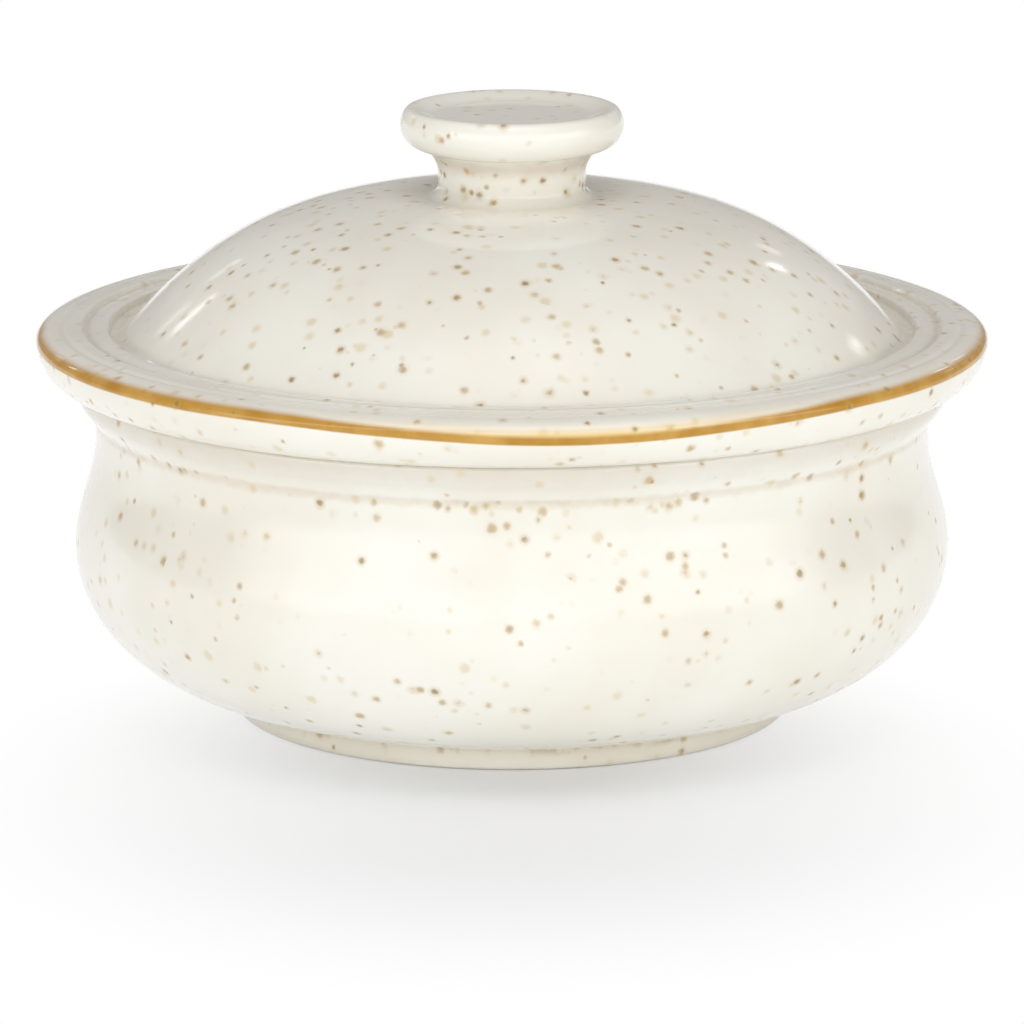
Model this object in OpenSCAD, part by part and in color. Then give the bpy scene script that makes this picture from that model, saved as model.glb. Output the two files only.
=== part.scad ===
// Lidded casserole dish in glazed stoneware, in millimetres.
// The bowl stands on its foot ring at z = 0, and the lid rests on the bowl's flat rim.
// Both pieces are turned forms, so each is one outline revolved about the Z axis.

/* [Bowl] */
// Diameter of the collar round the mouth
collar_d = 138.8; // [115:0.2:166.6]
// Height of the bowl, from the table to the rim that carries the lid
bowl_h = 53.9; // [44.9:0.1:65]
// How far the belly stands out past the collar
belly_out = 0.5; // [0:0.1:8]
// Height of the belly's widest point
belly_z = 27.1; // [22:0.1:33]
// How far the neck lies inside the collar
neck_in = 2.9; // [1.5:0.1:4]
// Length of the straight neck under the collar
neck_len = 2.6; // [1:0.1:5]
// Height of the collar, from the crease over the neck to the rim
collar_h = 6.3; // [5:0.1:8]
// Rise of the collar's sloping lower edge
collar_slope = 3.6; // [2:0.1:4.2]
// Rounding of the collar's lower edge
collar_round = 3; // [1:0.1:3.6]
// Rounding in the crease between collar and neck
crease_round = 1.2; // [0.4:0.1:2]
// Rounding of the rim's two edges
rim_round = 0.9; // [0.3:0.1:1.2]
// Thickness of the bowl's wall
wall = 4.6; // [3.8:0.1:5.6]
// Thickness of the floor inside the foot ring
floor_t = 5.2; // [4:0.1:7]

/* [Foot] */
// Outer diameter of the foot ring
foot_d = 88.6; // [73:0.2:107]
// Height at which the belly's curve runs level into the foot
foot_h = 3.7; // [3:0.1:5]
// Width of the foot ring
foot_w = 5.4; // [4:0.1:7]
// Depth of the recess inside the foot ring
foot_recess = 2.4; // [1.5:0.1:3.5]
// Rounding of the foot ring's edges
foot_round = 0.7; // [0.3:0.1:1]
// Fillet between the foot ring and the belly
foot_fillet = 0.8; // [0.3:0.1:1.2]
// How far the belly's lower curve reaches in under the foot ring's edge
foot_tuck = 3.3; // [2:0.1:5]

/* [Lid rim] */
// How far the lid's rim overhangs the collar
overhang = 6.4; // [5:0.1:8.4]
// Height from the lid's seat to the rim's widest point
rim_under = 6.4; // [5:0.1:8]
// Height from the rim's widest point to the flange's top
rim_crown = 2.3; // [1.8:0.1:3]
// How far the rim's upper curve runs in from its edge
rim_curl = 3.8; // [3:0.1:5]
// Width of the flat band inside the rim's curve
band_w = 3.3; // [2:0.1:4]
// Width of the tooled groove
groove_w = 1.6; // [1:0.1:2.2]
// Depth of the tooled groove below the band
groove_h = 0.7; // [0.4:0.1:1]
// Width of the ridge between the groove and the valley
ridge_w = 2.9; // [2:0.1:4]
// How far the ridge lies below the band
ridge_drop = 0.3; // [0:0.1:0.5]
// Rounding of the ridge's inner edge and of the valley's foot
ridge_round = 0.5; // [0.2:0.1:0.6]
// Width of the valley at the foot of the dome
valley_w = 1.8; // [1.4:0.1:2.6]
// Depth of the valley below the ridge
valley_h = 1.7; // [1.4:0.1:2.2]

/* [Lid dome] */
// Height from the flange's top to the top of the dome
dome_rise = 20.4; // [17:0.1:25]
// Slope of the dome where it meets the valley, in degrees
dome_slope = 48; // [40:1:56]
// Fullness of the dome's flank, a curve handle's length
dome_flank = 21.2; // [17:0.1:25]
// Fullness of the dome's top, a curve handle's length
dome_top = 21.6; // [18:0.1:26]
// Fillet between the dome and the valley
dome_fillet = 2; // [0.5:0.1:2.4]
// Thickness of the lid's wall
lid_wall = 4.6; // [3.8:0.1:5.6]

/* [Lid lip] */
// Clearance between the locating lip and the bowl's mouth, on the radius
lip_gap = 1.5; // [0.8:0.1:2]
// Depth of the locating lip below the seat
lip_depth = 3.2; // [2.4:0.1:4]
// Clearance between the lip's lower edge and the ledge inside the mouth
lip_clear = 0.7; // [0.5:0.1:1.2]
// Rounding of the lip's lower edges
lip_round = 1.2; // [0.4:0.1:1.4]
// Height of the sloping ledge inside the mouth
ledge_h = 3.5; // [2.5:0.1:5]

/* [Knob] */
// Diameter of the knob
knob_d = 35.6; // [32:0.2:43]
// Height of the knob's widest point over the top of the dome
knob_lift = 11.5; // [10:0.1:14]
// Radius of the knob's rolled edge
knob_roll = 3.8; // [3.2:0.1:4.5]
// Height of the rolled edge's crest over the widest point
knob_crown = 2.7; // [2.2:0.1:3.4]
// How far the crest lies in from the widest point
knob_crest = 1.7; // [1.2:0.1:2.6]
// Slope of the knob's underside, in degrees
knob_slope = 15; // [5:1:25]
// Diameter of the stem
stem_d = 23.6; // [20:0.2:25]
// Fillet between the stem and the knob
stem_fillet = 4.2; // [2:0.1:4.5]
// Fillet between the stem and the dome
stem_foot = 2; // [1:0.1:2.6]
// Depth of the shallow dish in the knob's top
dish_h = 1.2; // [0.8:0.1:1.8]
// Width of the slope round the dish
dish_slope_w = 4.3; // [3:0.1:5.5]

/* [Hidden] */
$fn = 128;

// Steps along a long curve, a short curve and a fillet
LONG = 24;
SHORT = 12;
FILLET = 5;
// Points nearer than this are one point
SAME = 0.001;

GLAZE = "#efe9dc";

// Bowl, from the overall sizes
collar_r = collar_d / 2;
belly_r = collar_r + belly_out;
neck_r = collar_r - neck_in;
crease_z = bowl_h - collar_h;
neck_z = crease_z - neck_len;
foot_r = foot_d / 2;
foot_in_r = foot_r - foot_w;
belly_c = [foot_r - foot_tuck, belly_z];
belly_run = belly_r - belly_c.x;
belly_drop = belly_z - foot_h;
// The belly's lower curve starts three fillets out from the foot ring
belly_start = -acos((foot_tuck + 3 * foot_fillet) / belly_run);
belly_start_p = belly_c + [belly_run * cos(belly_start), belly_drop * sin(belly_start)];

// Inside of the bowl, one wall in from the outside
floor_z = foot_recess + floor_t;
mouth_r = collar_r - wall;
gallery_z = bowl_h - lip_depth - lip_clear;
ledge_z = gallery_z - ledge_h;
neck_in_r = neck_r - wall;
belly_in_r = belly_r - wall;

// Lid, measured up from its seat on the bowl's rim
seat_z = bowl_h;
lid_r = collar_r + overhang;
rim_z = seat_z + rim_under;
flange_z = rim_z + rim_crown;
band_r = lid_r - rim_curl;
groove_out_r = band_r - band_w;
groove_mid_r = groove_out_r - groove_w / 2;
ridge_out_r = groove_out_r - groove_w;
ridge_in_r = ridge_out_r - ridge_w;
ridge_z = flange_z - ridge_drop;
valley_z = ridge_z - valley_h;
dome_base = [ridge_in_r - valley_w, valley_z];
dome_z = flange_z + dome_rise;
lip_r = mouth_r - lip_gap;
lip_z = seat_z - lip_depth;

// Knob, measured up from the top of the dome
stem_r = stem_d / 2;
knob_r = knob_d / 2;
roll_c = [knob_r - knob_roll, dome_z + knob_lift];
knob_top_z = roll_c.y + knob_crown;
roll_end = roll_c + knob_roll * [sin(knob_slope), -cos(knob_slope)];
stem_top_z = roll_end.y - (roll_end.x - stem_r) * tan(knob_slope);
dish_z = knob_top_z - dish_h;
crest_r = knob_r - knob_crest;
dish_r = crest_r - dish_slope_w;

function unit(v) = v / norm(v);

// Part of an ellipse with half axes a and b, from angle t0 to t1
function arc(c, a, b, t0, t1, steps) =
    [for (i = [0 : steps]) let (t = t0 + (t1 - t0) * i / steps) c + [a * cos(t), b * sin(t)]];

// S-curve from p to q that leaves and arrives upright
function upright_wave(p, q) =
    [for (i = [0 : SHORT]) let (u = i / SHORT)
        [p.x + (q.x - p.x) * (1 - cos(180 * u)) / 2, p.y + (q.y - p.y) * u]];

// S-curve from p to q that leaves and arrives level
function level_wave(p, q, steps) =
    [for (i = [0 : steps]) let (u = i / steps)
        [p.x + (q.x - p.x) * u, p.y + (q.y - p.y) * (1 - cos(180 * u)) / 2]];

// Cubic curve from p0 to p3 with handles p1 and p2
function bezier(p0, p1, p2, p3) =
    [for (i = [0 : LONG]) let (t = i / LONG, s = 1 - t)
        s * s * s * p0 + 3 * t * s * s * p1 + 3 * t * t * s * p2 + t * t * t * p3];

// Arc of radius f, or less where its two lines are short, that rounds corner p between points a and b
function corner(a, p, b, f, reach) =
    let (u = unit(a - p), v = unit(b - p), half = acos(u * v) / 2,
        fit = min(f, reach * tan(half)), run = fit / tan(half),
        c = p + unit(u + v) * fit / sin(half),
        from = p + u * run - c, to = p + v * run - c,
        t0 = atan2(from.y, from.x), turn = (atan2(to.y, to.x) - t0 + 540) % 360 - 180)
    [for (i = [0 : FILLET]) let (t = t0 + turn * i / FILLET) c + fit * [cos(t), sin(t)]];

// Length of the line from corner c to corner d that c may use: half of it where d is rounded too
function share(c, d) = norm([d.x - c.x, d.y - c.y]) * (d.z == 0 ? 1 : 0.5);

// Line through corners of [r, z, radius], each rounded by its radius
function rounded(corners) =
    let (p = [for (c = corners) [c.x, c.y]], last = len(corners) - 1)
    [for (i = [0 : last])
        each (i == 0 || i == last || corners[i].z == 0 ? [p[i]]
            : corner(p[i - 1], p[i], p[i + 1], corners[i].z,
                min(share(corners[i], corners[i - 1]), share(corners[i], corners[i + 1]))))];

// Path moved to its right by d, square to its own direction
function moved_right(path, d) =
    let (last = len(path) - 1)
    [for (i = [0 : last])
        let (along = unit(path[min(i + 1, last)] - path[max(i - 1, 0)])) path[i] + d * [along.y, -along.x]];

function reversed(path) = [for (i = [len(path) - 1 : -1 : 0]) path[i]];

// Path without points that repeat
function distinct(path) =
    [for (i = [0 : len(path) - 1]) if (i == 0 || norm(path[i] - path[max(i - 1, 0)]) > SAME) path[i]];

module turned(outline) {
    rotate_extrude() polygon(distinct(outline));
}

// Foot ring, belly, neck and collar, from the axis below to the rim
function bowl_outside() = concat(
    rounded([[0, foot_recess, 0], [foot_in_r, foot_recess, foot_round], [foot_in_r, 0, foot_round],
        [foot_r, 0, foot_round], [foot_r, foot_h, foot_fillet], [belly_start_p.x, belly_start_p.y, 0]]),
    arc(belly_c, belly_run, belly_drop, belly_start, 0, LONG),
    upright_wave([belly_r, belly_z], [neck_r, neck_z]),
    rounded([[neck_r, neck_z, 0], [neck_r, crease_z, crease_round],
        [collar_r, crease_z + collar_slope, collar_round], [collar_r, bowl_h, rim_round],
        [mouth_r, bowl_h, rim_round], [mouth_r, gallery_z, 0]]));

// Ledge under the lid's lip, belly and floor, from the mouth to the axis
function bowl_inside() = concat(
    upright_wave([mouth_r, gallery_z], [neck_in_r, ledge_z]),
    upright_wave([neck_in_r, ledge_z], [belly_in_r, belly_z]),
    arc(belly_c, belly_in_r - belly_c.x, belly_z - floor_z, 0, -90, LONG),
    [[0, floor_z]]);

module bowl() {
    color(GLAZE) turned(concat(bowl_outside(), bowl_inside()));
}

// Dished top, rolled edge, underside and stem, from the axis to the dome
function knob_outline() = concat(
    [[0, dish_z]],
    level_wave([dish_r, dish_z], [crest_r, knob_top_z], SHORT),
    arc([crest_r, roll_c.y], knob_crest, knob_crown, 90, 0, SHORT),
    arc(roll_c, knob_roll, knob_roll, 0, knob_slope - 90, SHORT),
    rounded([[roll_end.x, roll_end.y, 0], [stem_r, stem_top_z, stem_fillet], [stem_r, dome_z, stem_foot],
        [stem_r + stem_foot, dome_z, 0]]));

// Curve of the dome, from the stem's foot to the valley
function dome_curve() =
    let (start = [stem_r + stem_foot, dome_z], rise = [-cos(dome_slope), sin(dome_slope)])
    bezier(start, start + [dome_top, 0], dome_base + dome_flank * rise, dome_base);

// Valley, ridge, tooled groove, band and rolled rim, from the dome to the seat
function flange_outline() =
    let (above = dome_base + valley_h * [-cos(dome_slope), sin(dome_slope)])
    concat(
        rounded([[above.x, above.y, 0], [dome_base.x, valley_z, dome_fillet],
            [ridge_in_r, valley_z, ridge_round], [ridge_in_r, ridge_z, ridge_round],
            [ridge_out_r, ridge_z, 0]]),
        level_wave([ridge_out_r, ridge_z], [groove_mid_r, flange_z - groove_h], FILLET),
        level_wave([groove_mid_r, flange_z - groove_h], [groove_out_r, flange_z], FILLET),
        arc([band_r, rim_z], rim_curl, rim_crown, 90, 0, SHORT),
        arc([collar_r, rim_z], overhang, rim_under, 0, -90, SHORT));

// Locating lip and hollow of the dome, from the seat to the axis
function lid_inside() =
    let (hollow = reversed(moved_right(dome_curve(), lid_wall)), lip_in_r = hollow[0].x)
    concat(
        rounded([[collar_r, seat_z, 0], [lip_r, seat_z, 0], [lip_r, lip_z, lip_round],
            [lip_in_r, lip_z, lip_round], [lip_in_r, hollow[0].y, 0]]),
        hollow,
        [[0, dome_z - lid_wall]]);

module lid() {
    // The dome's last step gives way to the fillet in the valley
    flank = [for (p = dome_curve()) if (p.y > valley_z + valley_h * sin(dome_slope)) p];
    color(GLAZE) turned(concat(knob_outline(), flank, flange_outline(), lid_inside()));
}

bowl();
lid();
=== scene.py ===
"""Looks of the lidded stoneware casserole: two turned pieces, their speckled glaze and a plain studio."""
import logging
import math
from dataclasses import dataclass
from enum import Enum

import bpy
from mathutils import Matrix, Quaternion, Vector


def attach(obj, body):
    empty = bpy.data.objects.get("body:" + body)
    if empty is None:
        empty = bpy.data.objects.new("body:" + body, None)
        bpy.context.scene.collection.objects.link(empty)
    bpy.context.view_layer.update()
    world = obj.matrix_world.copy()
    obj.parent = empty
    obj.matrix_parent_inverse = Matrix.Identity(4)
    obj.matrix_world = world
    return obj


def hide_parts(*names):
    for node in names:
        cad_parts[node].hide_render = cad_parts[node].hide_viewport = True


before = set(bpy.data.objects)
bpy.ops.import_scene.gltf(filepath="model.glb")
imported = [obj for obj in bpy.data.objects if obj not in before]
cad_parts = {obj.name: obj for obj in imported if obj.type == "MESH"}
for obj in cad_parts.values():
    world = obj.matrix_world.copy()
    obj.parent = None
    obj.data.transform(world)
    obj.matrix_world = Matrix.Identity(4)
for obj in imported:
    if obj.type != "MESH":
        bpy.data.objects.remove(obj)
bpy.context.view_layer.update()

LOG = logging.getLogger("casserole")

Point = tuple[float, float]
Corner = tuple[float, float, float]
Colour = tuple[float, float, float, float]
Socket = bpy.types.NodeSocket

MM = 0.001
LONG_STEPS = 48
SHORT_STEPS = 20
FILLET_STEPS = 8
SAME_POINT = 0.002 * MM
MIDDLE = 0.5


def between(p: Point, q: Point, across: float, up: float) -> Point:
    """Point that lies one share of the way across and one share of the way up from p to q."""
    return p[0] + (q[0] - p[0]) * across, p[1] + (q[1] - p[1]) * up


def swing(u: float) -> float:
    """Share of the way that a gentle start and a gentle stop have covered at the share u of the time."""
    return (1 - math.cos(math.pi * u)) / 2


def straight(p: Point, q: Point, steps: int) -> list[Point]:
    """Line from p to q in equal steps, so that a flat disc gets rings of its own."""
    return [between(p, q, i / steps, i / steps) for i in range(steps + 1)]


def upright_wave(p: Point, q: Point, steps: int) -> list[Point]:
    """S-curve from p to q that leaves and arrives upright."""
    return [between(p, q, swing(i / steps), i / steps) for i in range(steps + 1)]


def level_wave(p: Point, q: Point, steps: int) -> list[Point]:
    """S-curve from p to q that leaves and arrives level."""
    return [between(p, q, i / steps, swing(i / steps)) for i in range(steps + 1)]


def arc(centre: Point, across: float, up: float, start: float, end: float, steps: int) -> list[Point]:
    """Part of an ellipse with the half axes across and up, from one angle in degrees to another."""
    turns = [math.radians(start + (end - start) * i / steps) for i in range(steps + 1)]
    return [(centre[0] + across * math.cos(t), centre[1] + up * math.sin(t)) for t in turns]


def bezier(p0: Point, p1: Point, p2: Point, p3: Point, steps: int) -> list[Point]:
    """Cubic curve with two handles.

    Args:
        p0: First point.
        p1: Handle of the first point.
        p2: Handle of the last point.
        p3: Last point.
        steps: Number of straight steps.

    Returns:
        The points from p0 to p3.
    """
    path = []
    for i in range(steps + 1):
        t = i / steps
        s = 1 - t
        weights = (s * s * s, 3 * t * s * s, 3 * t * t * s, t * t * t)
        path.append(tuple(sum(w * p[k] for w, p in zip(weights, (p0, p1, p2, p3))) for k in (0, 1)))
    return path


def fillet(a: Point, p: Point, b: Point, radius: float, steps: int) -> list[Point]:
    """Arc that rounds a corner.

    Args:
        a: Point before the corner.
        p: The corner.
        b: Point after the corner.
        radius: Radius of the arc.
        steps: Number of straight steps.

    Returns:
        The points of the arc, from a's side to b's side.
    """
    corner = Vector(p)
    u = (Vector(a) - corner).normalized()
    v = (Vector(b) - corner).normalized()
    half = u.angle(v) / 2
    run = radius / math.tan(half)
    centre = corner + (u + v).normalized() * radius / math.sin(half)
    start = corner + u * run - centre
    end = corner + v * run - centre
    first = math.atan2(start.y, start.x)
    turn = (math.atan2(end.y, end.x) - first + 3 * math.pi) % (2 * math.pi) - math.pi
    angles = [first + turn * i / steps for i in range(steps + 1)]
    return [(centre.x + radius * math.cos(t), centre.y + radius * math.sin(t)) for t in angles]


def rounded(corners: list[Corner], steps: int = FILLET_STEPS) -> list[Point]:
    """Line through corners, each rounded by its own radius.

    Args:
        corners: Radius from the axis, height and rounding of each corner.
        steps: Number of straight steps in each rounding.

    Returns:
        The points from the first corner to the last.
    """
    path = [corners[0][:2]]
    for before, here, after in zip(corners, corners[1:], corners[2:]):
        if here[2] > 0:
            path.extend(fillet(before[:2], here[:2], after[:2], here[2], steps))
        else:
            path.append(here[:2])
    path.append(corners[-1][:2])
    return path


def moved_right(path: list[Point], distance: float) -> list[Point]:
    """Path moved to its right, square to its own direction.

    Args:
        path: Points to move.
        distance: How far they move.

    Returns:
        The moved points.
    """
    last = len(path) - 1
    moved = []
    for i, p in enumerate(path):
        along = (Vector(path[min(i + 1, last)]) - Vector(path[max(i - 1, 0)])).normalized()
        moved.append((p[0] + distance * along.y, p[1] - distance * along.x))
    return moved


def distinct(path: list[Point]) -> list[Point]:
    """Path without points that repeat.

    Args:
        path: Points in order.

    Returns:
        The points that lie apart from the one before.
    """
    kept = [path[0]]
    for p in path[1:]:
        if math.dist(p, kept[-1]) > SAME_POINT:
            kept.append(p)
    return kept


def deselect_all() -> None:
    """Leaves no object selected, so that an operator acts only on what is made next."""
    if bpy.context.mode != "OBJECT":
        bpy.ops.object.mode_set(mode="OBJECT")
    bpy.ops.object.select_all(action="DESELECT")


class MixKind(Enum):
    """What a Mix node blends: Blender's name for it, and the places of its two inputs and of its output."""

    COLOUR = ("RGBA", 6, 7, 2)
    NUMBER = ("FLOAT", 2, 3, 0)


@dataclass(frozen=True)
class Board:
    """Node tree with short ways to add and join nodes."""

    tree: bpy.types.NodeTree

    def add(self, kind: str, *values: object, **settings: object) -> bpy.types.Node:
        """Adds a node.

        Args:
            kind: Blender's name of the node's type.
            values: Output sockets or plain values for its first inputs, in their order.
            settings: Values for the node's own properties.

        Returns:
            The new node.
        """
        node = self.tree.nodes.new(kind)
        for key, value in settings.items():
            setattr(node, key, value)
        for target, value in zip(node.inputs, values):
            self.feed(target, value)
        return node

    def feed(self, target: Socket, value: object) -> None:
        """Links a socket, or sets a plain value on it.

        Args:
            target: Input to fill.
            value: Output socket to link from, or the value itself.
        """
        if isinstance(value, bpy.types.NodeSocket):
            self.tree.links.new(value, target)
        else:
            target.default_value = value

    def fill(self, node: bpy.types.Node, **values: object) -> bpy.types.Node:
        """Feeds inputs of a node by their names.

        Args:
            node: The node.
            values: Output sockets or plain values, by the name of the input.

        Returns:
            The same node.
        """
        for name, value in values.items():
            self.feed(node.inputs[name], value)
        return node

    def math(self, operation: str, *values: object) -> Socket:
        """Result of a Math node with the given operands."""
        return self.add("ShaderNodeMath", *values, operation=operation).outputs[0]

    def vector(self, operation: str, *values: object) -> Socket:
        """Result of a Vector Math node with the given operands: a vector, or a number for a length."""
        node = self.add("ShaderNodeVectorMath", *values, operation=operation)
        return node.outputs["Value" if operation == "LENGTH" else "Vector"]

    def ramp(self, value: Socket, low: object, high: object, first: object = 0.0,
             last: object = 1.0) -> Socket:
        """Smooth step of a value from one limit to the other.

        Args:
            value: The value.
            low: Where the step starts.
            high: Where the step ends.
            first: Result at and before low.
            last: Result at and after high.

        Returns:
            The stepped value.
        """
        values = (value, low, high, first, last)
        return self.add("ShaderNodeMapRange", *values, interpolation_type="SMOOTHSTEP").outputs["Result"]

    def mix(self, factor: object, first: object, second: object, kind: MixKind = MixKind.COLOUR) -> Socket:
        """Blend of two colours or two numbers.

        Args:
            factor: Share of the second one.
            first: What there is at 0.
            second: What there is at 1.
            kind: What is blended.

        Returns:
            The blend.
        """
        name, start, end, out = kind.value
        node = self.add("ShaderNodeMix", factor, data_type=name)
        self.feed(node.inputs[start], first)
        self.feed(node.inputs[end], second)
        return node.outputs[out]

    def noise(self, vector: Socket, scale: object, detail: float = 2.0,
              roughness: float = 0.5) -> bpy.types.Node:
        """Noise texture.

        Args:
            vector: Place on the piece.
            scale: Waves to the metre.
            detail: Layers of finer waves.
            roughness: Strength of the finer waves.

        Returns:
            The node, with Fac and Color outputs.
        """
        node = self.add("ShaderNodeTexNoise", noise_dimensions="3D")
        return self.fill(node, Vector=vector, Scale=scale, Detail=detail, Roughness=roughness)

    def split(self, vector: Socket) -> bpy.types.Node:
        """Node that gives the X, Y and Z of a vector."""
        return self.add("ShaderNodeSeparateXYZ", vector)

    def off_axis(self, place: Socket) -> Socket:
        """Distance of a place from the Z axis."""
        return self.vector("LENGTH", self.vector("MULTIPLY", place, (1.0, 1.0, 0.0)))

    def shaken(self, place: Socket, scale: float, reach: float, detail: float) -> Socket:
        """Place moved a little by noise, so that what is looked up there gets a ragged edge.

        Args:
            place: Place on the piece.
            scale: Waves of the noise to the metre.
            reach: Width of the range that the place moves in.
            detail: Layers of finer waves.

        Returns:
            The moved place.
        """
        waves = self.noise(place, scale, detail).outputs["Color"]
        shift = self.vector("SUBTRACT", waves, (MIDDLE, MIDDLE, MIDDLE))
        return self.vector("MULTIPLY_ADD", shift, (reach, reach, reach), place)

    def swayed(self, value: Socket, place: Socket, scale: float, reach: float) -> Socket:
        """Value that wanders a little from place to place.

        Args:
            value: The value.
            place: Place on the piece.
            scale: Waves to the metre.
            reach: Width of the range that the value wanders in.

        Returns:
            The wandering value.
        """
        waves = self.noise(place, scale).outputs["Fac"]
        return self.math("MULTIPLY_ADD", self.math("SUBTRACT", waves, MIDDLE), reach, value)

    def group(self, tree: bpy.types.NodeTree, **values: object) -> bpy.types.Node:
        """Node of a shader node group, with its inputs filled by their names."""
        return self.fill(self.add("ShaderNodeGroup", node_tree=tree), **values)


class SocketKind(Enum):
    """Kinds of socket on a shader node group."""

    VECTOR = "NodeSocketVector"
    NUMBER = "NodeSocketFloat"


@dataclass
class GlazeEffects:
    """Shader node groups that the glazes share, each built once, in metres and in waves to the metre."""

    speck_noise: float = 1300.0
    speck_shift: float = 0.5 * MM
    scatter: float = 0.8
    cluster_noise: float = 42.0
    cluster_limits: Point = (0.36, 0.66)
    cluster_share: Point = (0.15, 1.7)
    size_least: float = 0.5
    size_range: float = 0.9
    pool_and_shade_noise: float = 420.0
    pool_and_shade_shift: float = 1.2 * MM
    patch_noise: float = 230.0
    patch_limits: Point = (0.50, 0.62)
    cloud_limits: Point = (0.35, 0.68)
    swell: float = 2.0
    peel_noise: float = 520.0
    peel_share: float = 0.12

    def __post_init__(self) -> None:
        """Builds every group."""
        self.specks = self.build_specks()
        self.pool = self.build_pool_and_shade()
        self.cloud = self.build_cloud()

    def start(self, name: str, numbers: tuple[str, ...],
              outputs: tuple[str, ...]) -> tuple[Board, dict[str, Socket], bpy.types.Node]:
        """Starts a group that takes a place, called Vector, and some numbers.

        Args:
            name: Name of the group.
            numbers: Names of the inputs beside the place.
            outputs: Names of the outputs, all numbers.

        Returns:
            The board to build on, the sockets of what is given by name, and the node that takes the outputs.
        """
        tree = bpy.data.node_groups.new(name, "ShaderNodeTree")
        sockets = [("Vector", "INPUT", SocketKind.VECTOR)]
        sockets += [(key, "INPUT", SocketKind.NUMBER) for key in numbers]
        sockets += [(key, "OUTPUT", SocketKind.NUMBER) for key in outputs]
        for key, side, kind in sockets:
            tree.interface.new_socket(name=key, in_out=side, socket_type=kind.value)
        board = Board(tree)
        entry = board.add("NodeGroupInput")
        given = {key: entry.outputs[key] for key in ("Vector", *numbers)}
        return board, given, board.add("NodeGroupOutput")

    def build_specks(self) -> bpy.types.NodeTree:
        """Scattered round specks, in loose clusters, each with its own size and tone and a soft halo.

        Returns:
            The group, with the outputs Core, Halo and Tone.
        """
        numbers = ("Spacing", "Size", "Keep", "Softness", "Bleed", "Offset", "Low", "High", "Edge")
        board, given, out = self.start("Iron specks", numbers, ("Core", "Halo", "Tone"))
        shaken = board.shaken(given["Vector"], self.speck_noise, self.speck_shift, detail=1.0)
        cells = board.add("ShaderNodeTexVoronoi", voronoi_dimensions="3D", feature="F1")
        place = board.vector("ADD", shaken, given["Offset"])
        scale = board.math("DIVIDE", 1.0, given["Spacing"])
        board.fill(cells, Vector=place, Scale=scale, Randomness=self.scatter)
        away = board.math("MULTIPLY", cells.outputs["Distance"], given["Spacing"])
        chance = board.add("ShaderNodeSeparateColor", cells.outputs["Color"])
        # A speck is there or not by the place of its middle, so that none is cut
        centre = board.vector("SUBTRACT", cells.outputs["Position"], given["Offset"])
        middle = board.split(centre).outputs["Z"]
        start = board.math("SUBTRACT", given["Low"], given["Edge"])
        end = board.math("ADD", given["High"], given["Edge"])
        above = board.ramp(middle, start, given["Low"], 0.0, given["Keep"])
        keep = board.ramp(middle, given["High"], end, above, 0.0)
        cluster = board.noise(cells.outputs["Position"], self.cluster_noise, detail=1.5)
        share = board.ramp(cluster.outputs["Fac"], *self.cluster_limits, *self.cluster_share)
        present = board.math("LESS_THAN", chance.outputs["Green"], board.math("MULTIPLY", keep, share))
        growth = board.math("MULTIPLY_ADD", chance.outputs["Red"], self.size_range, self.size_least)
        size = board.math("MULTIPLY", given["Size"], growth)
        inner = board.math("SUBTRACT", size, given["Softness"])
        outer = board.math("ADD", size, given["Softness"])
        core = board.ramp(away, inner, outer, 1.0, 0.0)
        halo = board.ramp(away, 0.0, board.math("MULTIPLY", size, given["Bleed"]), 1.0, 0.0)
        shown = board.math("MULTIPLY", core, present)
        bled = board.math("MULTIPLY", halo, present)
        board.fill(out, Core=shown, Halo=bled, Tone=chance.outputs["Blue"])
        return board.tree

    def build_pool_and_shade(self) -> bpy.types.NodeTree:
        """Darker colour along a ring, evenly or in patches, used both for gathered glaze and for painted
        shade.

        Returns:
            The group, with the output Mask.
        """
        board, given, out = self.start("Glaze pool", ("Radius", "Height", "Reach", "Even"), ("Mask",))
        place = board.shaken(given["Vector"], self.pool_and_shade_noise, self.pool_and_shade_shift, detail=2.0)
        across = board.math("SUBTRACT", board.off_axis(place), given["Radius"])
        up = board.math("SUBTRACT", board.split(place).outputs["Z"], given["Height"])
        square = board.math("MULTIPLY_ADD", across, across, board.math("MULTIPLY", up, up))
        ring = board.ramp(board.math("SQRT", square), 0.0, given["Reach"], 1.0, 0.0)
        noise = board.noise(given["Vector"], self.patch_noise, detail=3.0, roughness=0.6)
        patch = board.ramp(noise.outputs["Fac"], *self.patch_limits)
        share = board.mix(given["Even"], patch, 1.0, MixKind.NUMBER)
        board.fill(out, Mask=board.math("MULTIPLY", ring, share))
        return board.tree

    def build_cloud(self) -> bpy.types.NodeTree:
        """Slow unevenness of a glaze: its tone, and the waves of its surface.

        Returns:
            The group, with the outputs Cloud and Waves.
        """
        board, given, out = self.start("Glaze cloud", ("Size",), ("Cloud", "Waves"))
        scale = board.math("DIVIDE", 1.0, given["Size"])
        slow = board.noise(given["Vector"], scale, detail=3.0, roughness=0.55)
        cloud = board.ramp(slow.outputs["Fac"], *self.cloud_limits)
        swell = board.noise(given["Vector"], board.math("MULTIPLY", scale, self.swell), detail=1.0)
        peel = board.noise(given["Vector"], self.peel_noise, detail=1.0)
        waves = board.math("MULTIPLY_ADD", peel.outputs["Fac"], self.peel_share, swell.outputs["Fac"])
        board.fill(out, Cloud=cloud, Waves=waves)
        return board.tree


@dataclass(frozen=True)
class Specks:
    """One layer of specks in a glaze, in metres."""

    spacing: float
    size: float
    keep: float
    softness: float
    bleed: float
    core: float
    halo: float
    dark: Colour
    light: Colour
    stain: Colour
    offset: float


@dataclass(frozen=True)
class SpeckBand:
    """Specks in a band of heights, in metres."""

    specks: Specks
    low: float = -1.0
    high: float = 1.0
    edge: float = 1.0 * MM


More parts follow.
